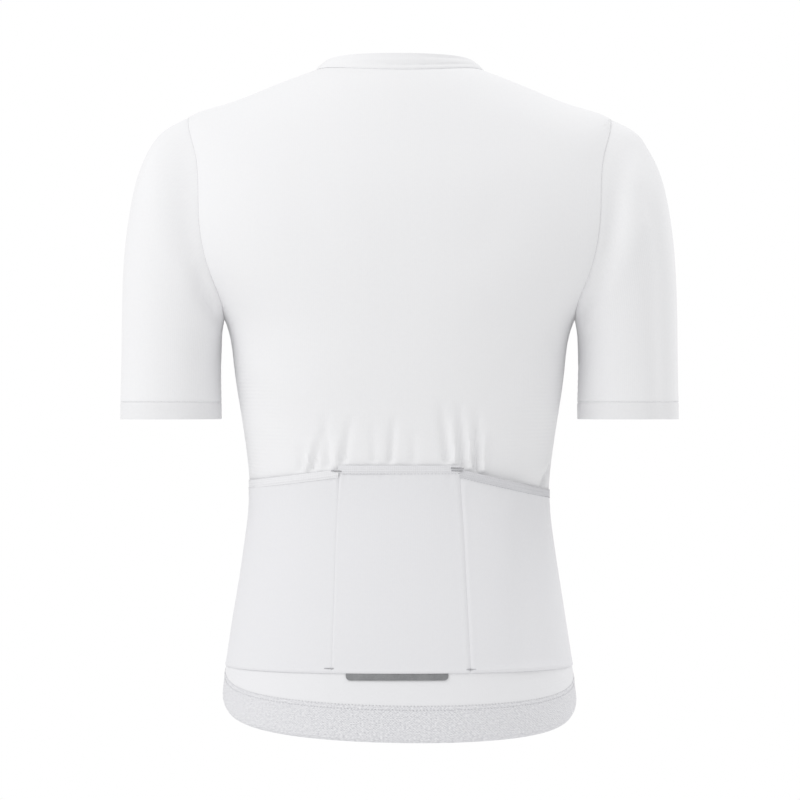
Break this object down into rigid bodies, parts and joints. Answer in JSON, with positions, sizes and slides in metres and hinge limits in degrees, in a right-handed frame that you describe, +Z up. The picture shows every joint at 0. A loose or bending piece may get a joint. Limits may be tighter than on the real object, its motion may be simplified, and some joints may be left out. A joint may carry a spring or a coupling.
{
  "type": "cycling jersey",
  "caption": "Short-sleeved road cycling jersey with a full front zip, a low stand-up collar, an elastic hem and pockets across the lower back, filled out as worn.",
  "frame": {"origin": "middle of the neck base, level with the points where the shoulders meet the neck, between the shoulders that carry the jersey", "axes": "+Z up, the wearer faces -Y, so the back of the jersey is towards +Y and the wearer's left is +X"},
  "size_m": [0.568, 0.2482, 0.6856],
  "materials": {
    "jersey_cloth": "matte knit with fine cross ribs",
    "sleeve_band_cloth": "matte smooth elastic knit",
    "hem_band_mesh": "matte open elastic mesh",
    "pocket_cloth": "matte close knit",
    "pocket_elastic": "matte folded elastic",
    "reflective_film": "grey retroreflective film",
    "zip_tape": "woven tape",
    "zip_teeth": "white nylon coil",
    "slider_metal": "satin painted zinc"
  },
  "bodies": {
    "jersey": {"back": "jersey_cloth", "front_left": "jersey_cloth", "front_right": "jersey_cloth", "collar": "jersey_cloth", "sleeve_left": "jersey_cloth", "sleeve_right": "jersey_cloth", "sleeve_band_left": "sleeve_band_cloth", "sleeve_band_right": "sleeve_band_cloth", "hem_band_back": "hem_band_mesh", "hem_band_front_left": "hem_band_mesh", "hem_band_front_right": "hem_band_mesh", "pocket_left": "pocket_cloth", "pocket_middle": "pocket_cloth", "pocket_right": "pocket_cloth", "pocket_left_binding": "pocket_elastic", "pocket_middle_binding": "pocket_elastic", "pocket_right_binding": "pocket_elastic", "reflective_strip": "reflective_film", "zip_tape_left": "zip_tape", "zip_tape_right": "zip_tape", "zip_chain": "zip_teeth", "zip_box": "zip_teeth", "zip_slider": "slider_metal"},
    "pull_tab": {"zip_pull": "slider_metal"}
  },
  "joints": [
    {"name": "pull_tab_hinge", "type": "hinge", "parent": "jersey", "child": "pull_tab", "pos_m": [0, -0.06139, -0.0663], "axis": [-1, 0, 0], "range_deg": [0, 150]}
  ]
}
